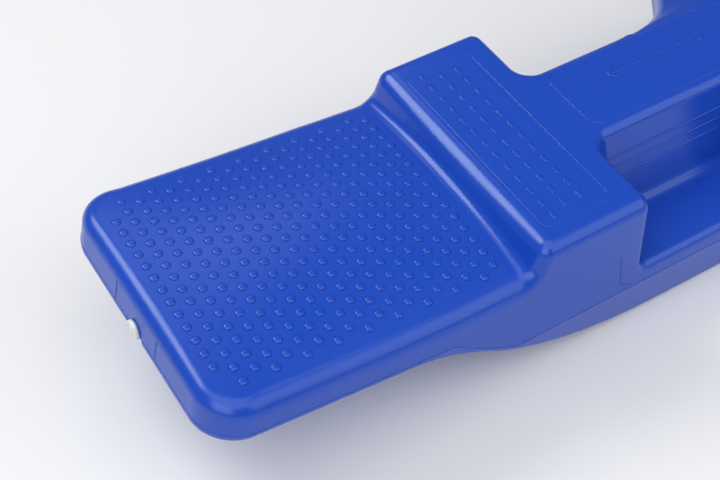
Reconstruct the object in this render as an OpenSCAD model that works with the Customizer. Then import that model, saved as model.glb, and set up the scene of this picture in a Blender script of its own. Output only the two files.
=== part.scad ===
// Balance rocker: a hollow moulded board that a child stands on, one foot on each end
// platform, and rocks from side to side on the curved keel under its middle.
//
// Frame: +X runs along the board, +Z is up, the origin is on the ground under the middle.
// The board looks the same after half a turn about Z, so each feature is drawn once, for
// the -X half, and half_turns() makes the other one.

/* [Board] */
// Length from end to end
board_l = 904; // [880:2:960]
// Width at the parting line, where it is widest
board_w = 188; // [176:2:208]
// Width at the top of the blocks
top_w = 182; // [170:2:188]
// Width at the ground
keel_w = 181; // [170:2:188]
// Height of the blocks and the beam above the ground
top_h = 114.5; // [108:0.5:124]
// Thickness of the moulded wall
wall = 3.5; // [2.5:0.5:5]

/* [Foot platforms] */
// Distance from the middle to the foot of the step
step_x = 239; // [230:1:250]
// Height of the step on the centre line
step_h = 12.5; // [8:0.5:20]
// Length of the step's slope
step_run = 12; // [6:1:20]
// Slope of the platform top, rising outwards, in degrees
platform_tilt = 4.2; // [0:0.1:8]
// Radius of the crown across the platform top
crown_r = 480; // [350:10:900]
// Slope of the platform underside, rising outwards, in degrees
under_tilt = 7; // [3:0.5:10]
// Radius of the platform's outer corners, seen from above
corner_r = 27; // [10:1:40]

/* [Rocker] */
// Length of the flat that the board rests on
rest_l = 40; // [20:2:80]
// Radius of the slow curve under the middle
rock_r = 4500; // [2000:100:8000]
// Distance from the middle to the end of the slow curve
rock_x = 130; // [110:5:150]
// Radius of the toes that lead up to the platforms
toe_r = 255; // [240:5:280]
// Distance from the middle to where a toe meets the platform underside
toe_x = 293; // [280:1:300]
// Height of the parting line above the ground
parting_h = 38.5; // [30:0.5:45]

/* [Beam, pockets and notches] */
// Width of the beam between its sides on the notches
beam_w = 70; // [60:1:80]
// Distance from the middle to the inner face of a block
block_x = 151; // [140:1:165]
// Height of the pocket floor above the ground
pocket_h = 52; // [45:1:70]
// Distance from the middle line to the top of the beam's wall in a pocket
pocket_y = 35; // [26:1:36]
// How far that wall leans out from its top to the pocket floor
beam_lean = 14.5; // [5:0.5:20]
// Distance from the middle to the closed end of a pocket
pocket_end_x = 30; // [20:1:40]
// Radius of a pocket's inner corners, seen from above
pocket_r = 12; // [4:1:20]
// Distance from the middle to where a notch's end starts to curve
notch_x = 77; // [70:1:90]
// Radius of the curve at the middle end of a notch
notch_r = 70; // [62:1:80]
// Radius of a notch's corner beside the block
notch_corner_r = 13; // [4:1:20]
// Height that the hub falls from the beam to its outer edge
hub_fall = 19; // [5:1:30]

/* [End plugs] */
// Diameter of the blow hole in each end
hole_d = 10; // [6:0.5:14]
// Diameter of the plug's head
plug_head_d = 14; // [10:0.5:20]
// Thickness of the plug's head
plug_head_t = 3; // [2:0.5:5]
// Length of the plug's shank
plug_shank_l = 14; // [8:1:25]

/* [Hidden] */
$fn = 64;

deck_blue = [0.13, 0.28, 0.74];
plug_white = [0.86, 0.87, 0.86];

reach = 300;             // further than any cutting tool has to go
clear = 1;               // how far a cutting tool starts outside a face
lip_h = 6;               // height of the lower shell's edge above the underside
half_l = board_l / 2;
arc_steps = 14;          // straight steps in one toe
slow_steps = 5;          // straight steps in one half of the slow curve
block_corner_r = 8;      // convex corner of a block, beside a notch

// The slow curve starts at the end of the flat, so its centre stands over that end.
rest_x = rest_l / 2;
rock_a = asin((rock_x - rest_x) / rock_r);
toe_cx = rest_x + (rock_r - toe_r) * sin(rock_a);
toe_cz = rock_r - (rock_r - toe_r) * cos(rock_a);
toe_a = asin((toe_x - toe_cx) / toe_r);
toe_z = toe_cz - toe_r * cos(toe_a);

// Heights of the platform's top and underside on the centre line, at distance x.
function platform_z(x) = top_h - step_h + (x - step_x) * tan(platform_tilt);
function under_z(x) = toe_z + (x - toe_x) * tan(under_tilt);

hole_z = under_z(half_l) + lip_h;

// Lower edge of the side view for +X, from the middle outwards, with the wall's inside
// face at g = wall.
function lower_edge(g) = concat(
    [for (i = [0 : slow_steps]) let (a = rock_a * i / slow_steps)
        [rest_x + (rock_r - g) * sin(a), rock_r - (rock_r - g) * cos(a)]],
    [for (i = [1 : arc_steps]) let (a = rock_a + (toe_a - rock_a) * i / arc_steps)
        [toe_cx + (toe_r - g) * sin(a), toe_cz - (toe_r - g) * cos(a)]],
    [[half_l - g, under_z(half_l) + g]]);

// Upper edge of the side view for +X, from the end inwards.
function upper_edge(g) = [
    [half_l - g, platform_z(half_l) - g],
    [step_x, platform_z(step_x) - g],
    [step_x - step_run, top_h - g]];

function mirrored(points) = [for (i = [len(points) - 1 : -1 : 0]) [-points[i][0], points[i][1]]];

module side_view(g) {
    right = concat(lower_edge(g), upper_edge(g));
    polygon(concat(right, mirrored(right)));
}

// End view: drafted walls that are widest on the parting line.
module end_view(g) {
    right = [[keel_w / 2 - g, -clear], [keel_w / 2 - g, 0], [board_w / 2 - g, parting_h],
             [top_w / 2 - g, top_h], [top_w / 2 - g, top_h + step_h]];
    polygon(concat(right, mirrored(right)));
}

// Rounded rectangle with exact arcs.
module rounded_rect(l, w, r) {
    square([l - 2 * r, w], center = true);
    square([l, w - 2 * r], center = true);
    for (x = [-1, 1], y = [-1, 1])
        translate([x * (l / 2 - r), y * (w / 2 - r)]) circle(r);
}

// Stands a side view up in the XZ plane, or an end view in the YZ plane.
module along_y(l) { rotate([90, 0, 0]) linear_extrude(l, center = true) children(); }
module along_x(l) { rotate([90, 0, 90]) linear_extrude(l, center = true) children(); }

module half_turns() {
    children();
    rotate(180) children();
}

// What the crown takes off the top of a platform.
module crown_cut(g) {
    difference() {
        translate([-reach - step_x, -reach / 2, top_h / 2]) cube([reach, reach, top_h]);
        translate([-step_x, 0, platform_z(step_x) - crown_r])
            rotate([0, platform_tilt - 90, 0])
                cylinder(r = crown_r - g, h = 2 * board_l, center = true, $fn = 360);
    }
}

// Open notch between a block and the hub, seen from above. It goes right through.
module notch_outline(g) {
    side = beam_w / 2 - g;
    left = -block_x - g;
    arc_y = beam_w / 2 + notch_r;
    bend_r = notch_corner_r + g;
    difference() {
        translate([left, side]) square([-notch_x - left, reach]);
        translate([left, side]) corner_waste(bend_r);
    }
    intersection() {
        translate([-notch_x, arc_y]) circle(notch_r + g);
        translate([-notch_x, side]) square(notch_r + 2 * g);
    }
    translate([-notch_x, arc_y]) square([notch_r + g, notch_r]);
    translate([left, board_w / 2 - g]) rotate(180) corner_waste(block_corner_r - g, clear);
}

// What rounding off a square corner takes away. The corner is at the origin and its sides
// run along +X and +Y. The waste reaches past the sides by more than nothing on a convex
// corner, so that it cuts clean.
module corner_waste(r, more = 0) {
    difference() {
        translate([-more, -more]) square(r + more);
        translate([r, r]) circle(r);
    }
}

// Pocket beside the beam: a flat floor, closed at both ends and open at the board's side.
module pocket(g) {
    top_y = pocket_y - g;
    floor_y = top_y + beam_lean;
    l = block_x - pocket_end_x + 2 * g;
    bend_r = pocket_r + g;
    intersection() {
        translate([-block_x - g, -reach - top_y, 0]) linear_extrude(2 * top_h) {
            square([l, reach - bend_r]);
            translate([bend_r, 0]) square([l - 2 * bend_r, reach]);
            for (x = [bend_r, l - bend_r])
                translate([x, reach - bend_r]) circle(bend_r);
        }
        along_x(2 * reach + block_x) polygon([
            [-top_y, 2 * top_h], [-top_y, top_h], [-floor_y, pocket_h - g],
            [-reach, pocket_h - g], [-reach, 2 * top_h]]);
    }
}

// The hub beside the beam falls away towards its outer edge.
module hub_cut(g) {
    inner = beam_w / 2;
    translate([0, 0, -g]) intersection() {
        along_x(2 * block_x) polygon([
            [inner, top_h], [board_w / 2, top_h - hub_fall],
            [reach, top_h - hub_fall], [reach, 2 * top_h], [inner, 2 * top_h]]);
        translate([-block_x, 0, 0]) cube([block_x + pocket_end_x, reach, 3 * top_h]);
    }
}

// The whole outer form at g = 0, or the hollow inside it at g = wall.
module board_solid(g) {
    difference() {
        intersection() {
            along_y(reach) side_view(g);
            along_x(2 * board_l) end_view(g);
            linear_extrude(2 * top_h)
                rounded_rect(board_l - 2 * g, board_w - 2 * g, corner_r - g);
        }
        half_turns() {
            crown_cut(g);
            translate([0, 0, -clear]) linear_extrude(2 * top_h) notch_outline(g);
            pocket(g);
            hub_cut(g);
        }
    }
}

// Everything above the parting surface, which follows the underside out to the ends.
module upper_region() {
    along_y(reach) intersection() {
        translate([0, lip_h]) side_view(0);
        translate([-board_l, parting_h]) square([2 * board_l, 2 * top_h]);
    }
}

// Blow hole through the -X end, on the parting surface.
module end_hole() {
    translate([-half_l - clear, 0, hole_z]) rotate([0, 90, 0])
        cylinder(d = hole_d, h = wall + 2 * clear);
}

module hollow_board() {
    difference() {
        board_solid(0);
        board_solid(wall);
        half_turns() end_hole();
    }
}

module deck_shell() {
    color(deck_blue) intersection() {
        hollow_board();
        upper_region();
    }
}

module rocker_shell() {
    color(deck_blue) difference() {
        hollow_board();
        upper_region();
    }
}

// Plug in the -X end: a flat round head on a straight shank.
module plug() {
    color(plug_white) translate([-half_l, 0, hole_z]) rotate([0, 90, 0]) {
        translate([0, 0, -plug_head_t]) cylinder(d = plug_head_d, h = plug_head_t);
        cylinder(d = hole_d, h = plug_shank_l);
    }
}

module left_plug() { plug(); }
module right_plug() { rotate(180) plug(); }

deck_shell();
rocker_shell();
left_plug();
right_plug();
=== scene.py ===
"""Balance rocker: the looks of a hollow moulded board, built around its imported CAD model.

The board's skin is one smooth field: a formula that says how far a point lies outside the
board, with every edge and every corner rounded as the mould rounds it. A net of quads is laid
over the field's zero surface, and is then divided on the moulding's parting line.

Lengths in the formulas are millimetres; everything given to Blender is metres. The board
looks the same after half a turn about Z, so each feature is written once, for the -X half,
where `out` is the distance from the middle towards the end.
"""
import math

import bpy
import numpy as np
from mathutils import Matrix, Vector


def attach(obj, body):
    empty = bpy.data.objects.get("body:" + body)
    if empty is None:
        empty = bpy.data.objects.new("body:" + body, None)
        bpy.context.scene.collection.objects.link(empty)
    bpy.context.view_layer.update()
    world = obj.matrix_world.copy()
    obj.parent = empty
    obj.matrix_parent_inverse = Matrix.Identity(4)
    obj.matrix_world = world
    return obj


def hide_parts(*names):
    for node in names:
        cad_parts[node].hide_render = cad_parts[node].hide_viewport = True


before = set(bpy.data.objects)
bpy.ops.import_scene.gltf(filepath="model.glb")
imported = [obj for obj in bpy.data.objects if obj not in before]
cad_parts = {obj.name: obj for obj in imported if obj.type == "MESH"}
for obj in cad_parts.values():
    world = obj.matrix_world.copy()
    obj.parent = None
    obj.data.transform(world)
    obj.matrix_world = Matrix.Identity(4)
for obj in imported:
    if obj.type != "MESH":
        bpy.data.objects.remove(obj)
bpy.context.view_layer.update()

MM = 0.001

# ---------------------------------------------------------------- the board, millimetres

END_X = 451.0            # half the board's length
END_DRAFT = 0.20         # how fast the end face leans in as it rises
PARTING_Z = 38.5         # the parting line, where the board is widest
TOP_Z = 114.5            # top of the blocks and the beam
HALF_W = 94.0            # half the width on the parting line
TOP_DRAFT = 3.0 / (TOP_Z - PARTING_Z)  # how fast the side leans in above that line
KEEL_DRAFT = 3.5 / PARTING_Z  # and below it
CORNER_R = 27.0          # the platform's outer corners, seen from above

EDGE_R = 9.0             # the edge round the top, beside the blocks and the hub
SIDE_EDGE_R = 12.0       # beside a platform
END_EDGE_R = 8.0         # and at its end
SIDE_EDGE_X = (229.0, 249.0)  # where the first changes to the second
END_EDGE_X = (415.0, 440.0)   # and the second to the third

STEP_X = 239.0           # foot of the step up to the block
STEP_RUN = 8.0           # length of the step's slope, seen from above
STEP_EDGE_R = 7.0        # the edge at its top
STEP_FOOT_R = 5.0        # the corner at its foot
PLATFORM_X = 219.0       # where a platform's formula starts, inside the block

FOOT_X = 340.0           # the middle of a platform
FOOT_Z = 109.2           # its height there
FOOT_L = 100.0           # half its length
FOOT_RISE = 6.9          # how far it rises in that length
FOOT_ARCH = 2.7          # and how far both of its ends lie below that slope
CROWN_Y = 75.0           # the crown's drop is measured at this distance from the middle line
CROWN_END_Y = 82.0       # and goes no further beyond this one
CROWN_DROP = 6.9         # the drop in the middle of the platform
CROWN_TAPER = 1.7        # how much less it is at the outer end, and more at the step
CROWN_FADE = 3.8         # how much less it is at both ends

REST_X = 20.0            # end of the flat that the board rests on
ROCK_X = 130.0           # end of the slow curve
ROCK_R = 4500.0          # radius of the slow curve
TOE_R = 255.0            # radius of a toe, which leads up to a platform
TOE_X = 293.0            # where a toe meets the platform's underside
TOE_END_R = 15.0         # the corner between them
UNDER_SLOPE = math.radians(7.0)
UNDER_EDGE_R = 4.0       # the edge round the underside
LIP_H = 6.0              # height of the lower shell's edge above the underside

BEAM_Y = 36.0            # the beam's side on a notch
LEDGE_Y = 31.0           # the top of its side on a pocket
BEAM_LEAN = 0.255        # how fast that side leans out on its way down to the floor

POCKET_X = (30.0, 153.0)  # the two ends of a pocket, level with the beam's top
POCKET_Z = 52.0          # its floor
POCKET_DRAFT = 0.056     # how fast its ends lean in on their way down
POCKET_R = (12.0, 15.0)  # its corners at those ends, seen from above
POCKET_FLOOR_R = 6.0     # the corner round its floor
POCKET_EDGE_R = 6.0      # the edge round its top

NOTCH_X = (7.0, 154.0)   # the two ends of a notch, level with the beam's top
NOTCH_DRAFT = 0.01       # how fast its sides lean in towards the parting line
NOTCH_R = (70.0, 13.0)   # its corners at those ends, seen from above
NOTCH_LEAN = 0.35        # how fast the end at the middle draws back below the hub's edge
NOTCH_LEAN_H = 65.0      # over this height
NOTCH_EDGE_R = 7.0       # the edges of the notch

HUB_Y = 33.0             # line along which the hub starts to fall away
HUB_X = 66.0             # where the hub ends, halfway down a notch's curve
HUB_FALL = 0.3           # slope of the hub's top in the middle of the board
HUB_TWIST = 0.0083       # how much steeper it is for each millimetre towards a notch
HUB_EDGE_R = 3.0         # the edges of the hub's top

DISH_R = 8.5             # the shallow dish that a plug's head sits in
DISH_X = 449.2           # its floor
DISH_EDGE_R = 1.0        # its corner and its edge

# ---------------------------------------------------------------- moulded details, millimetres

DOT_X = 430.0            # the outermost column of grip dots
DOT_STEP = 9.84          # from one column to the next
DOT_PITCH = 10.0         # from one dot to the next in a column
DOT_COLUMNS = 19
DOT_COUNTS = (15, 16)    # dots in the even columns and in the odd ones
DOT_END_COUNT = 13       # but this many in the outermost, between the rounded corners
DOT_R = 2.9
DOT_H = 1.15
DOT_SINK = 0.6           # how far a dot goes into the board
DOT_SQUARENESS = 0.55    # below 1, a dot's sides are steeper than a plain dome's
DOT_LIFT = 1.3           # the angle up a dot's dome, in radians, at which its flat top starts
DOT_RINGS = 5
DOT_SIDES = 14

PANEL_X = (-221.0, -172.0)  # the thin line round the warning on a block
PANEL_Y = 76.0
PANEL_R = 6.0
ROWS = ((-211.0, 73.0), (-199.5, 70.0), (-187.5, 72.0))  # each row's x and half its length
DASH_L = 7.0
DASH_GAP = 4.5

BEAM_PANEL_X = 144.0     # the thin line round the beam's top
BEAM_PANEL_Y = 27.0
BEAM_PANEL_R = 10.0
BEAM_PANEL_SHIFT = 2.8   # how far it lies off the middle line, towards the notch
BEAM_PANEL_SWAP = 10.0   # and how gently it changes sides in the middle

ARROW_X = (-107.0, -27.0)
ARROW_Y = 9.5
BARB_L = 6.0
BARB_W = 4.8

RIDGES_X = (-143.0, -39.0)  # fine ridges along the beam's wall in a pocket
RIDGES_Z = (93.3, 85.7, 78.3)

END_MARKS_Y = (-25.0, 25.0)  # upright witness lines on the end face
END_MARK_TOP = 106.5
END_MARK_LIFT = 1.0      # from the parting line up to their feet
SIDE_MARK = ((-170.5, 74.0), (-166.0, 46.0), (-156.0, 41.0))  # x and z, below a block

# The width and the height of each kind of bead.
LINE_BEAD = (1.1, 0.32)
DASH_BEAD = (3.4, 0.40)
ARROW_BEAD = (3.0, 0.45)
RIDGE_BEAD = (1.8, 0.70)
END_MARK_BEAD = (1.0, 0.35)
SIDE_MARK_BEAD = (1.2, 0.40)
SEAM_BEAD = (0.9, 0.25)
BEAD_SIDES = 8
BEAD_STEP = 2.0          # from one ring of a bead to the next
SEAM_STEP = 3.0          # and along the seam
BEAD_TIP = 0.6           # length of a bead's rounded tip
BEAD_TIP_SIZE = 0.3      # its size there, as a share of the full one

PLUG_R = 6.2             # an end plug's head
HEAD_H = 2.5             # the head's thickness
HEAD_EDGE = 0.3          # what is taken off its edge
HEAD_GAP = 0.1           # from the dish's floor to the head
GROOVE_R = 0.58 * PLUG_R  # the ring groove in its face
GROOVE_W = 1.0
GROOVE_D = 0.4
SHANK_R = 4.9
SHANK_L = 13.0
SHANK_EDGE = 0.4         # what is taken off the shank's tip
PLUG_SIDES = 48

# ---------------------------------------------------------------- the mesh, millimetres

CELL = 2.0               # the grid that the skin's net is made on
MARGIN = 3               # cells between the board and the grid's edge
SLOPE_STEP = 0.02        # how far to each side of a point its slope is measured
LEAST_SLOPE = 0.05       # the squared slope below which a point's move is held back

# ---------------------------------------------------------------- the scene, metres

CAMERA_PLACE = (-0.5856, -0.4431, 0.6911)
CAMERA_TARGET = (-0.3175, -0.0270, 0.1145)
CAMERA_ROLL = math.radians(1.13)
LENS = 66.34             # focal length and sensor width are in millimetres
SENSOR_W = 36.0

FLOOR_REACH = 6.0        # from the middle to each edge of the floor
FLOOR_COLOUR = (0.775, 0.78, 0.79, 1)
FLOOR_ROUGHNESS = 0.7
WORLD_COLOUR = (0.95, 0.97, 1, 1)
WORLD_STRENGTH = 0.20

# Each plastic's colour drifts between two shades.
BLUES = (0.0072, 0.055, 0.425, 1), (0.0085, 0.059, 0.445, 1)
MILKY_WHITES = (0.66, 0.67, 0.67, 1), (0.78, 0.79, 0.79, 1)
GRAIN_X = (0.244, 0.252)  # the platforms' grain sets in between these distances


# ---------------------------------------------------------------- the field

def meet(a, b, r):
    """What lies inside both of two fields, with the edge between them rounded."""
    return np.minimum(np.maximum(a, b), -r) + np.hypot(np.maximum(a + r, 0), np.maximum(b + r, 0))


def join(a, b, r):
    """What lies inside either of two fields, with the corner between them filled."""
    return -meet(-a, -b, r)


def ramp(value, start, end):
    """From 0 at start to 1 at end, and level beyond them."""
    return np.clip((value - start) / (end - start), 0, 1)


def platform_z(out, y):
    """Height of a platform's top, which rises outwards and is crowned like a pillow."""
    along = (out - FOOT_X) / FOOT_L
    across = np.minimum(np.abs(y), CROWN_END_Y) / CROWN_Y
    middle = FOOT_Z + FOOT_RISE * along - FOOT_ARCH * along ** 2
    return middle - across ** 2 * (CROWN_DROP - CROWN_TAPER * along - CROWN_FADE * along ** 2)


def rock_angle():
    """How far the slow curve turns."""
    return math.asin((ROCK_X - REST_X) / ROCK_R)


def toe_centre():
    """The centre of the toe's arc: its distance from the middle, and its height."""
    turn = rock_angle()
    return REST_X + (ROCK_R - TOE_R) * math.sin(turn), ROCK_R - (ROCK_R - TOE_R) * math.cos(turn)


def underside_z(out):
    """Height of the platform's underside."""
    centre_x, centre_z = toe_centre()
    toe_z = centre_z - math.sqrt(TOE_R ** 2 - (TOE_X - centre_x) ** 2)
    return toe_z + (out - TOE_X) * math.tan(UNDER_SLOPE)


def beam_wall_y(z):
    """Distance from the middle line to the beam's wall in a pocket."""
    return LEDGE_Y + (TOP_Z - z) * BEAM_LEAN


def hole_z():
    """Height of the blow hole's axis, on the parting line at the end."""
    return underside_z(END_X) + LIP_H


def rocker_field(out, z):
    """Below the flat, the slow curve or the toe; the three are tangent to each other."""
    turn = rock_angle()
    centre_x, centre_z = toe_centre()
    slow = np.hypot(np.maximum(out - REST_X, 0), ROCK_R - z) - ROCK_R
    toe = np.hypot(np.maximum(out - centre_x, 0), centre_z - z) - TOE_R
    past = (out - REST_X) * math.cos(turn) > (ROCK_R - z) * math.sin(turn)
    return np.where(past, toe, slow)


def parting_z(out):
    """Height of the parting line: level in the middle, and up along the toe to the end."""
    centre_x, centre_z = toe_centre()
    reach = np.clip(out - centre_x, 0, TOE_X - centre_x)
    toe_z = centre_z - np.sqrt(TOE_R ** 2 - reach ** 2)
    outboard = np.where(out < TOE_X, toe_z, underside_z(out)) + LIP_H
    return np.maximum(outboard, PARTING_Z)


def plan_field(out, y, z):
    """The board's outline from above, widest on the parting line."""
    above = np.maximum(z - parting_z(out), 0) * TOP_DRAFT
    below = np.maximum(parting_z(out) - z, 0) * KEEL_DRAFT
    side = np.abs(y) - (HALF_W - above - below)
    end = out - (END_X - END_DRAFT * (z - underside_z(END_X)))
    return meet(side, end, CORNER_R)


def top_field(out, y, z):
    """The platform, or the block beyond the step."""
    foot_z = platform_z(STEP_X, y)
    rise = TOP_Z - foot_z
    riser = ((out - STEP_X) * rise + (z - foot_z) * STEP_RUN) / np.hypot(rise, STEP_RUN)
    platform = z - platform_z(np.clip(out, PLATFORM_X, END_X), y)
    return join(platform, meet(z - TOP_Z, riser, STEP_EDGE_R), STEP_FOOT_R)


def under_field(out, z):
    """The platform's underside, or the rocker."""
    under = (underside_z(out) - z) * math.cos(UNDER_SLOPE)
    return join(under, rocker_field(out, z), TOE_END_R)


def dish_field(out, y, z):
    """The shallow dish round the plug in the end."""
    return meet(np.hypot(y, z - hole_z()) - DISH_R, DISH_X - out, DISH_EDGE_R)


def pocket_field(out, y, z):
    """The pocket beside the beam, on the -Y side."""
    draft = (TOP_Z - z) * POCKET_DRAFT
    beam = (y + beam_wall_y(z)) / math.hypot(1, BEAM_LEAN)
    around = meet(beam, out - POCKET_X[1] + draft, POCKET_R[1])
    around = meet(around, POCKET_X[0] + draft - out, POCKET_R[0])
    return meet(around, POCKET_Z - z, POCKET_FLOOR_R)


def notch_field(out, y, z):
    """The notch beside the beam, on the +Y side. It goes right through."""
    draft = (TOP_Z - PARTING_Z - np.abs(z - PARTING_Z)) * NOTCH_DRAFT
    side = BEAM_Y - y + draft
    lean = NOTCH_LEAN * np.clip(TOP_Z - z, 0, NOTCH_LEAN_H)
    end = (NOTCH_X[0] - out - lean) / math.hypot(1, NOTCH_LEAN)
    return meet(meet(side, end, NOTCH_R[0]), out - NOTCH_X[1] + draft, NOTCH_R[1])


def hub_field(out, y, z):
    """The hub's top, which falls away from the beam, more steeply towards the notch."""
    fall = HUB_FALL + HUB_TWIST * np.clip(out * np.sign(y), 0, HUB_X)
    drop = fall * (np.abs(y) - HUB_Y) - np.maximum(out - HUB_X, 0)
    return (z - TOP_Z + drop) / np.hypot(1, fall)


def edge_radius(out):
    """Radius of the edge round the top."""
    radius = EDGE_R + (SIDE_EDGE_R - EDGE_R) * ramp(out, *SIDE_EDGE_X)
    return radius + (END_EDGE_R - SIDE_EDGE_R) * ramp(out, *END_EDGE_X)


def board_field(points):
    """How far each point lies outside the board, in millimetres."""
    x, y, z = points
    out, near = np.abs(x), np.where(x > 0, -y, y)
    body = meet(plan_field(out, near, z), top_field(out, near, z), edge_radius(out))
    body = meet(body, under_field(out, z), UNDER_EDGE_R)
    body = meet(body, -dish_field(out, near, z), DISH_EDGE_R)
    body = meet(body, hub_field(out, near, z), HUB_EDGE_R)
    body = meet(body, -pocket_field(out, near, z), POCKET_EDGE_R)
    # A notch draws back past the middle, so both are cut everywhere.
    body = meet(body, -notch_field(-x, y, z), NOTCH_EDGE_R)
    return meet(body, -notch_field(x, -y, z), NOTCH_EDGE_R)


def parting_field(points):
    """Above zero on the deck's side of the parting surface."""
    x, _, z = points
    return z - parting_z(np.abs(x))


# ---------------------------------------------------------------- meshes from the field

def surface_net(values):
    """One vertex in each grid cell that the zero surface crosses, and a quad round each grid
    edge that it crosses. Places are in grid steps."""
    nx, ny, nz = values.shape
    corners = [(i, j, k) for i in (0, 1) for j in (0, 1) for k in (0, 1)]
    inside = values < 0
    filled = sum(inside[i:nx - 1 + i, j:ny - 1 + j, k:nz - 1 + k].astype(np.int8) for i, j, k in corners)
    cells = np.argwhere((filled > 0) & (filled < 8))
    number = np.full((nx - 1, ny - 1, nz - 1), -1)
    number[tuple(cells.T)] = np.arange(len(cells))

    at = [values[tuple((cells + corner).T)] for corner in corners]
    total = np.zeros((len(cells), 3))
    count = np.zeros(len(cells))
    for a in range(8):
        for b in range(a + 1, 8):
            step = np.subtract(corners[b], corners[a])
            if np.abs(step).sum() != 1:
                continue
            crosses = (at[a] < 0) != (at[b] < 0)
            share = at[a] / np.where(crosses, at[a] - at[b], 1)
            total += np.where(crosses[:, None], corners[a] + share[:, None] * step, 0)
            count += crosses
    vertices = cells + total / count[:, None]

    quads = []
    for axis in range(3):
        ahead = np.eye(3, dtype=int)[axis]
        u, v = np.eye(3, dtype=int)[(axis + 1) % 3], np.eye(3, dtype=int)[(axis + 2) % 3]
        first = inside[:nx - ahead[0], :ny - ahead[1], :nz - ahead[2]]
        second = inside[ahead[0]:, ahead[1]:, ahead[2]:]
        edges = np.argwhere(first != second)
        ring = np.stack([number[tuple((edges - back).T)] for back in (0 * u, u, u + v, v)], axis=1)
        leaving = inside[tuple(edges.T)]
        quads.append(np.where(leaving[:, None], ring, ring[:, ::-1]))
    return vertices, np.concatenate(quads)


def slope_of(field, points):
    """The slope of a field, as three rows, at points that are given as three rows."""
    steps = SLOPE_STEP * np.eye(3)[:, :, None]
    return np.stack([field(points + step) - field(points - step) for step in steps]) / (2 * SLOPE_STEP)


def onto(field, points, rounds=4):
    """Moves points, given as three rows, to the zero surface of a field."""
    for _ in range(rounds):
        slope = slope_of(field, points)
        points = points - slope * (field(points) / np.maximum((slope ** 2).sum(0), LEAST_SLOPE))
    return points


def relax(vertices, quads, rounds=3):
    """Evens out the net: each vertex moves to the middle of its neighbours, and back onto the
    surface."""
    pairs = np.concatenate([quads[:, [i, (i + 1) % 4]] for i in range(4)])
    for _ in range(rounds):
        total = np.zeros_like(vertices)
        np.add.at(total, pairs[:, 0], vertices[pairs[:, 1]])
        count = np.bincount(pairs[:, 0], minlength=len(vertices))
        vertices = onto(board_field, (total / count[:, None]).T, 2).T
    return vertices


def board_net():
    """The whole skin. The grid is symmetric about the middle, so half of it is worked out."""
    nx, ny = 2 * int(END_X / CELL + MARGIN), 2 * int(HALF_W / CELL + MARGIN)
    # The odd 0.2 keeps the grid's levels off the ground, where the whole flat is at zero.
    low = -CELL * np.array([nx / 2, ny / 2, MARGIN + 0.2])
    xs = low[0] + CELL * np.arange(nx // 2 + 1)
    ys = low[1] + CELL * np.arange(ny + 1)
    zs = low[2] + CELL * np.arange(int(TOP_Z / CELL) + 3 * MARGIN)
    half = board_field(np.meshgrid(xs, ys, zs, indexing="ij"))
    values = np.concatenate([half, half[-2::-1, ::-1]])
    vertices, quads = surface_net(values)
    vertices = onto(board_field, (low + CELL * vertices).T).T
    return relax(vertices, quads), quads


def cut_off(vertices, triangles, side):
    """The triangles where side is above zero, cut cleanly along side = 0."""
    above = side > 0
    count = above[triangles].sum(1)
    cut = triangles[(count == 1) | (count == 2)]
    edges = np.concatenate([cut[:, [0, 1]], cut[:, [1, 2]], cut[:, [2, 0]]])
    edges = np.unique(np.sort(edges[above[edges[:, 0]] != above[edges[:, 1]]], axis=1), axis=0)
    a, b = edges.T
    share = side[a] / (side[a] - side[b])
    new = vertices[a] + share[:, None] * (vertices[b] - vertices[a])
    code = a * len(vertices) + b

    def between(p, q):
        low, high = np.minimum(p, q), np.maximum(p, q)
        return len(vertices) + np.searchsorted(code, low * len(vertices) + high)

    kept = [triangles[count == 3]]
    for turn in range(3):
        p, q, r = np.roll(cut, -turn, axis=1).T
        one = above[p] & ~above[q] & ~above[r]
        kept.append(np.stack([p, between(p, q), between(p, r)], axis=1)[one])
        two = ~above[p] & above[q] & above[r]
        pq, pr = between(p, q), between(p, r)
        kept.append(np.stack([q, r, pr], axis=1)[two])
        kept.append(np.stack([q, pr, pq], axis=1)[two])
    faces = np.concatenate(kept)
    used, faces = np.unique(faces, return_inverse=True)
    return np.concatenate([vertices, new])[used], faces.reshape(-1, 3)


def mesh_object(name, vertices, faces):
    """A smooth mesh object from vertices in millimetres."""
    mesh = bpy.data.meshes.new(name)
    vertices, faces = np.asarray(vertices, float), np.asarray(faces)
    mesh.vertices.add(len(vertices))
    mesh.vertices.foreach_set("co", (vertices * MM).ravel())
    mesh.loops.add(faces.size)
    mesh.loops.foreach_set("vertex_index", faces.ravel())
    mesh.polygons.add(len(faces))
    mesh.polygons.foreach_set("loop_start", np.arange(0, faces.size, faces.shape[1]))
    mesh.update(calc_edges=True)
    mesh.validate()
    mesh.shade_smooth()
    piece = bpy.data.objects.new(name, mesh)
    bpy.context.collection.objects.link(piece)
    return piece


def half_turn(points):
    """The same points after half a turn about Z."""
    return points * [-1, -1, 1]


def closed_tube(rings):
    """Vertices and triangles of a tube through rings of points, closed flat at both ends."""
    count, sides = rings.shape[:2]
    start = (np.arange(count - 1) * sides)[:, None]
    here, there = np.arange(sides), (np.arange(sides) + 1) % sides
    a, b = (start + here).ravel(), (start + there).ravel()
    c, d = a + sides, b + sides
    first, last = count * sides, count * sides + 1
    far = (count - 1) * sides
    caps = [(first, q, p) for p, q in zip(here, there)]
    caps += [(last, far + p, far + q) for p, q in zip(here, there)]
    faces = np.concatenate([np.stack([a, b, d], 1), np.stack([a, d, c], 1), caps])
    ends = [rings[0].mean(0), rings[-1].mean(0)]
    return np.concatenate([rings.reshape(-1, 3), ends]), faces


def joined(parts):
    """One set of vertices and faces out of many."""
    starts = np.cumsum([0] + [len(points) for points, _ in parts[:-1]])
    return (np.concatenate([points for points, _ in parts]),
            np.concatenate([faces + start for (_, faces), start in zip(parts, starts)]))


def with_half_turn(part):
    """A part together with its copy on the other half of the board."""
    points, faces = part
    return joined([part, (half_turn(points), faces)])


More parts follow.
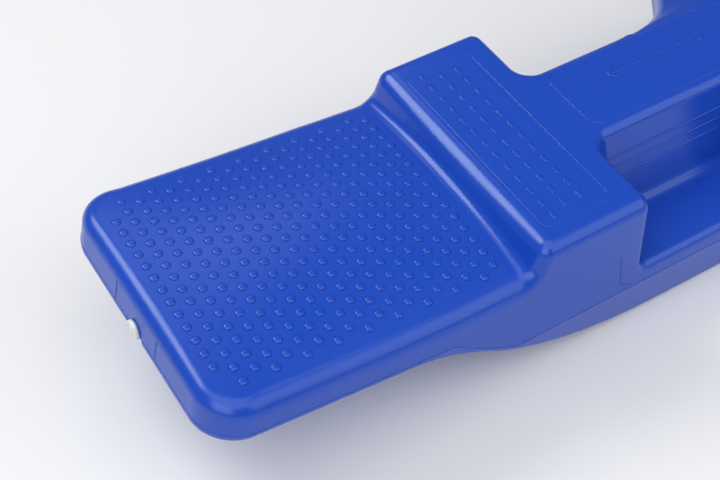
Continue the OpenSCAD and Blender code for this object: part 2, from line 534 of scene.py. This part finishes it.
def turned_rings(radii, heights, sides):
    """Rings of points about the Z axis."""
    turn = np.arange(sides) * 2 * math.pi / sides
    level = np.broadcast_to(np.reshape(heights, (-1, 1)), (len(radii), sides))
    return np.stack([np.outer(radii, np.cos(turn)), np.outer(radii, np.sin(turn)), level], axis=2)


def bead(path, section):
    """A low rounded bead along a path on the board's surface."""
    width, height = section
    path = onto(board_field, np.transpose(path).astype(float)).T
    along = np.gradient(path, axis=0)
    normal = slope_of(board_field, path.T).T
    across = np.cross(normal, along)
    across /= np.linalg.norm(across, axis=1, keepdims=True)
    turn = np.arange(BEAD_SIDES)[:, None] * 2 * math.pi / BEAD_SIDES
    size = np.ones((len(path), 1, 1))
    size[[0, -1]] = BEAD_TIP_SIZE
    ring = across[:, None] * np.cos(turn) * width / 2 + normal[:, None] * np.sin(turn) * height
    return closed_tube(path[:, None] + size * ring)


def even_steps(points, step):
    """The same path in equal steps."""
    points = np.asarray(points, float)
    run = np.concatenate([[0], np.cumsum(np.linalg.norm(np.diff(points, axis=0), axis=1))])
    places = np.linspace(0, run[-1], round(run[-1] / step) + 1)
    return np.stack([np.interp(places, run, column) for column in points.T], axis=1)


def straight(start, end):
    """A straight path, with one more point close to each end, where a bead is rounded."""
    length = math.dist(start, end)
    share = np.linspace(0, 1, max(2, round(length / BEAD_STEP)))
    tip = BEAD_TIP / length
    share = np.concatenate([[0, tip], share[1:-1], [1 - tip, 1]])[:, None]
    return np.asarray(start) * (1 - share) + np.asarray(end) * share


def rounded_loop(x0, x1, y0, y1, r):
    """A closed rounded rectangle at the height of the block's top."""
    points = []
    centres = (x1 - r, y1 - r), (x0 + r, y1 - r), (x0 + r, y0 + r), (x1 - r, y0 + r)
    for quarter, (x, y) in enumerate(centres):
        for degrees in range(90 * quarter, 90 * quarter + 91, 15):
            turn = math.radians(degrees)
            points.append((x + r * math.cos(turn), y + r * math.sin(turn), TOP_Z))
    return even_steps(points + points[:1], BEAD_STEP)


def rim(triangles):
    """The vertices along the open edge of a surface, in order."""
    edges = {(int(face[i]), int(face[(i + 1) % 3])) for face in triangles for i in range(3)}
    after = dict(edge for edge in edges if edge[::-1] not in edges)
    loop = [next(iter(after))]
    while after[loop[-1]] != loop[0]:
        loop.append(after[loop[-1]])
    return loop


# ---------------------------------------------------------------- moulded details

def grip_dots():
    """The grip dots of the left platform: low domes in staggered columns."""
    lift = np.linspace(0, DOT_LIFT, DOT_RINGS)
    radii = DOT_R * np.cos(lift) ** DOT_SQUARENESS
    dome = turned_rings([DOT_R, *radii], [-DOT_SINK, *(DOT_H * np.sin(lift))], DOT_SIDES)
    parts = []
    for column in range(DOT_COLUMNS):
        x = DOT_STEP * column - DOT_X
        count = DOT_COUNTS[column % 2] if column else DOT_END_COUNT
        for y in DOT_PITCH * (np.arange(count) - (count - 1) / 2):
            foot = np.array([x, y, platform_z(-x, y)])
            up = slope_of(board_field, foot[:, None])[:, 0]
            up /= np.linalg.norm(up)
            east = np.cross([0, 1, 0], up)
            basis = np.stack([east, np.cross(up, east), up])
            parts.append(closed_tube(dome @ basis + foot))
    return joined(parts)


def block_panel():
    """The thin line round the warning, and plain dashes where its words are."""
    parts = [bead(rounded_loop(*PANEL_X, -PANEL_Y, PANEL_Y, PANEL_R), LINE_BEAD)]
    for x, half in ROWS:
        count = int((2 * half + DASH_GAP) / (DASH_L + DASH_GAP))
        for y in (DASH_L + DASH_GAP) * (np.arange(count) - (count - 1) / 2):
            dash = straight((x, y - DASH_L / 2, TOP_Z), (x, y + DASH_L / 2, TOP_Z))
            parts.append(bead(dash, DASH_BEAD))
    return joined(parts)


def beam_arrow():
    """A plain double-ended arrow on the beam."""
    start, end = [(x, ARROW_Y, TOP_Z) for x in ARROW_X]
    parts = [bead(straight(start, end), ARROW_BEAD)]
    for tip, inward in ((start, 1), (end, -1)):
        for side in (-1, 1):
            barb_end = (tip[0] + inward * BARB_L, ARROW_Y + side * BARB_W, TOP_Z)
            parts.append(bead(straight(tip, barb_end), ARROW_BEAD))
    return joined(parts)


def beam_panel():
    """The thin line round the beam's top. Each half of the beam has its own notch side."""
    loop = rounded_loop(-BEAM_PANEL_X, BEAM_PANEL_X, -BEAM_PANEL_Y, BEAM_PANEL_Y, BEAM_PANEL_R)
    loop[:, 1] -= BEAM_PANEL_SHIFT * np.tanh(loop[:, 0] / BEAM_PANEL_SWAP)
    return bead(loop, LINE_BEAD)


def pocket_ridges():
    """The fine ridges in the -Y pocket of the left half."""
    parts = []
    for z in RIDGES_Z:
        start, end = [(x, -beam_wall_y(z), z) for x in RIDGES_X]
        parts.append(bead(straight(start, end), RIDGE_BEAD))
    return joined(parts)


def insert_marks():
    """Witness lines of the mould's inserts, on the end face and on the side below a block."""
    parts = []
    for y in END_MARKS_Y:
        foot, top = (-END_X, y, hole_z() + END_MARK_LIFT), (-END_X, y, END_MARK_TOP)
        parts.append(bead(straight(foot, top), END_MARK_BEAD))
    corners = [(x, -HALF_W, z) for x, z in SIDE_MARK]
    for start, end in zip(corners, corners[1:]):
        parts.append(bead(straight(start, end), SIDE_MARK_BEAD))
    return joined(parts)


def left_plug():
    """The plug in the -X end: a round head with a ring groove, on a shank."""
    top, groove = HEAD_H, HEAD_H - GROOVE_D
    profile = (
        (SHANK_R - SHANK_EDGE, -SHANK_L), (SHANK_R, 1 - SHANK_L), (SHANK_R, 0),
        (PLUG_R - HEAD_EDGE, 0), (PLUG_R, HEAD_EDGE),
        (PLUG_R, top - 2 * HEAD_EDGE), (PLUG_R - HEAD_EDGE, top - 0.2), (PLUG_R - 3 * HEAD_EDGE, top),
        (GROOVE_R + 0.5 * GROOVE_W, top), (GROOVE_R + 0.2 * GROOVE_W, groove),
        (GROOVE_R - 0.2 * GROOVE_W, groove), (GROOVE_R - 0.5 * GROOVE_W, top),
        (1, top + 0.1))
    points, faces = closed_tube(turned_rings(*zip(*profile), PLUG_SIDES))
    x, y, z = points.T
    return np.stack([-DISH_X - HEAD_GAP - z, y, hole_z() + x], axis=1), faces


# ---------------------------------------------------------------- camera, floor and lights

def point_at(thing, target, roll=0.0):
    """Turns a camera or a light at its place to look at the target."""
    away = Vector(thing.location) - Vector(target)
    aim = away.to_track_quat("Z", "Y").to_matrix()
    thing.rotation_euler = (aim @ Matrix.Rotation(roll, 3, "Z")).to_euler()


def make_camera():
    data = bpy.data.cameras.new("camera")
    data.lens, data.sensor_width = LENS, SENSOR_W
    camera = bpy.data.objects.new("camera", data)
    bpy.context.collection.objects.link(camera)
    camera.location = CAMERA_PLACE
    point_at(camera, CAMERA_TARGET, CAMERA_ROLL)
    bpy.context.scene.camera = camera


def make_floor():
    corners = np.array([(-1, -1, 0), (1, -1, 0), (1, 1, 0), (-1, 1, 0)]) * FLOOR_REACH / MM
    floor = mesh_object("floor", corners, [(0, 1, 2, 3)])
    material = bpy.data.materials.new("floor")
    material.use_nodes = True
    shader = material.node_tree.nodes["Principled BSDF"]
    shader.inputs["Base Color"].default_value = FLOOR_COLOUR
    shader.inputs["Roughness"].default_value = FLOOR_ROUGHNESS
    floor.data.materials.append(material)


def area_light(name, place, target, size, power):
    """A square light."""
    data = bpy.data.lights.new(name, "AREA")
    data.size, data.energy = size, power
    light = bpy.data.objects.new(name, data)
    bpy.context.collection.objects.link(light)
    light.location = place
    point_at(light, target)


def make_light():
    # The key is high behind the left end, and the fill is in front, past the middle. A wide one
    # is overhead and one stands off the left end; the weak one behind shines in the platforms.
    area_light("key", (-0.90, 1.14, 1.56), (-0.3, 0, 0.1), 0.95, 18)
    area_light("fill", (0.65, -1.05, 0.99), (-0.2, 0, 0.1), 1.4, 9)
    area_light("overhead", (-0.55, -0.45, 2.2), (-0.35, -0.1, 0), 2.2, 22)
    area_light("front", (-1.35, -0.85, 0.95), (-0.35, -0.1, 0), 1.2, 10)
    area_light("back", (0.22, 1.25, 1.50), (-0.4, 0, 0.1), 0.6, 1.2)
    world = bpy.data.worlds.new("world")
    world.use_nodes = True
    background = world.node_tree.nodes["Background"]
    background.inputs["Color"].default_value = WORLD_COLOUR
    background.inputs["Strength"].default_value = WORLD_STRENGTH
    bpy.context.scene.world = world
    bpy.context.scene.view_settings.view_transform = "Standard"


# ---------------------------------------------------------------- materials

class Nodes:
    """A material's node tree, with short calls to add nodes and to link them."""

    def __init__(self, name):
        self.material = bpy.data.materials.new(name)
        self.material.use_nodes = True
        self.tree = self.material.node_tree
        self.shader = self.tree.nodes["Principled BSDF"]
        self.place = self.add("ShaderNodeTexCoord").outputs["Object"]

    def add(self, kind, inputs=(), **settings):
        node = self.tree.nodes.new(kind)
        for key, value in settings.items():
            setattr(node, key, value)
        for key, value in dict(inputs).items():
            if isinstance(value, bpy.types.NodeSocket):
                self.tree.links.new(value, node.inputs[key])
            else:
                node.inputs[key].default_value = value
        return node

    def noise(self, scale, detail=2.0):
        """Noise in the object's own space, with scale in features to the metre."""
        node = self.add("ShaderNodeTexNoise", {"Vector": self.place, "Scale": scale, "Detail": detail})
        return node.outputs["Fac"]

    def mapped(self, value, low, high):
        """The span from 0.3 to 0.7, the middle of a noise, spread from low to high."""
        node = self.add("ShaderNodeMapRange", {"Value": value, "From Min": 0.3, "From Max": 0.7,
                                               "To Min": low, "To Max": high})
        return node.outputs["Result"]

    def blend(self, value, first, second):
        """A mix of two colours. Sockets 6, 7 and 2 are the Mix node's colour ones."""
        node = self.add("ShaderNodeMix", {"Factor": value, 6: first, 7: second}, data_type="RGBA")
        return node.outputs[2]

    def sum(self, first, second):
        return self.add("ShaderNodeMath", {0: first, 1: second}).outputs["Value"]

    def product(self, first, second):
        return self.add("ShaderNodeMath", {0: first, 1: second}, operation="MULTIPLY").outputs["Value"]

    def absolute(self, value):
        return self.add("ShaderNodeMath", {0: value}, operation="ABSOLUTE").outputs["Value"]

    def bump(self, height, depth):
        """Relief on the surface, depth in metres."""
        node = self.add("ShaderNodeBump", {"Height": height, "Distance": depth, "Strength": 1.0})
        self.link(node.outputs["Normal"], "Normal")

    def link(self, value, socket):
        self.tree.links.new(value, self.shader.inputs[socket])


def blue_plastic():
    """Satin moulded polyethylene: cloudy pigment, an orange-peel skin, grained platforms."""
    nodes = Nodes("blue_plastic")
    cloud = nodes.mapped(nodes.noise(9, 4), 0, 1)
    nodes.link(nodes.blend(cloud, *BLUES), "Base Color")
    x = nodes.add("ShaderNodeSeparateXYZ", {"Vector": nodes.place}).outputs["X"]
    start, end = GRAIN_X
    platform = nodes.add("ShaderNodeMapRange", {"Value": nodes.absolute(x), "From Min": start,
                                                "From Max": end}).outputs["Result"]
    grain = nodes.product(nodes.noise(1500), platform)
    peel = nodes.sum(nodes.noise(260, 3), grain)
    nodes.bump(peel, 0.00002)
    worn = nodes.mapped(nodes.noise(40, 6), 0.20, 0.25)
    nodes.link(nodes.sum(worn, nodes.mapped(platform, 0.0, 0.03)), "Roughness")
    nodes.shader.inputs["IOR"].default_value = 1.5
    nodes.shader.inputs["Specular Tint"].default_value = (0.84, 0.97, 1, 1)
    return nodes.material


def natural_plastic():
    """Uncoloured polyethylene: milky, slightly see-through and a little grubby."""
    nodes = Nodes("natural_plastic")
    cloud = nodes.mapped(nodes.noise(220, 4), 0, 1)
    nodes.link(nodes.blend(cloud, *MILKY_WHITES), "Base Color")
    nodes.link(nodes.mapped(nodes.noise(500, 3), 0.35, 0.5), "Roughness")
    nodes.bump(nodes.noise(900), 0.00003)
    nodes.shader.inputs["Subsurface Weight"].default_value = 0.3
    nodes.shader.inputs["Subsurface Radius"].default_value = (0.003, 0.003, 0.003)
    return nodes.material


# ---------------------------------------------------------------- pieces

def add_piece(name, part, node, material):
    points, faces = part
    piece = mesh_object(name, points, faces)
    piece.data.materials.append(material)
    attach(piece, "root")
    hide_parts(node)
    return piece


def shade_by_field(piece):
    """Takes a skin's shading from the field itself, so that fillets shine evenly."""
    points = np.empty(3 * len(piece.data.vertices))
    piece.data.vertices.foreach_get("co", points)
    normals = slope_of(board_field, points.reshape(-1, 3).T / MM)
    normals /= np.linalg.norm(normals, axis=0)
    piece.data.normals_split_custom_set_from_vertices(normals.T)


def build_board(material):
    vertices, quads = board_net()
    triangles = np.concatenate([quads[:, [0, 1, 2]], quads[:, [0, 2, 3]]])
    side = parting_field(vertices.T)
    deck, rocker = cut_off(vertices, triangles, side), cut_off(vertices, triangles, -side)
    deck_points, deck_triangles = deck
    seam = bead(even_steps(deck_points[rim(deck_triangles)], SEAM_STEP), SEAM_BEAD)
    dots = grip_dots()
    for name, part, node in (
            ("deck_skin", deck, "deck_shell"),
            ("rocker_skin", rocker, "rocker_shell"),
            ("parting_seam", seam, "rocker_shell"),
            ("left_dots", dots, "deck_shell"),
            ("right_dots", (half_turn(dots[0]), dots[1]), "deck_shell"),
            ("block_panels", with_half_turn(block_panel()), "deck_shell"),
            ("beam_arrows", with_half_turn(beam_arrow()), "deck_shell"),
            ("beam_panel", beam_panel(), "deck_shell"),
            ("pocket_ridges", with_half_turn(pocket_ridges()), "deck_shell"),
            ("insert_marks", with_half_turn(insert_marks()), "deck_shell")):
        piece = add_piece(name, part, node, material)
        if name.endswith("_skin"):
            shade_by_field(piece)


def build_plugs(material):
    points, faces = left_plug()
    add_piece("left_plug_head", (points, faces), "left_plug", material)
    add_piece("right_plug_head", (half_turn(points), faces), "right_plug", material)


make_camera()
make_floor()
make_light()
build_board(blue_plastic())
build_plugs(natural_plastic())
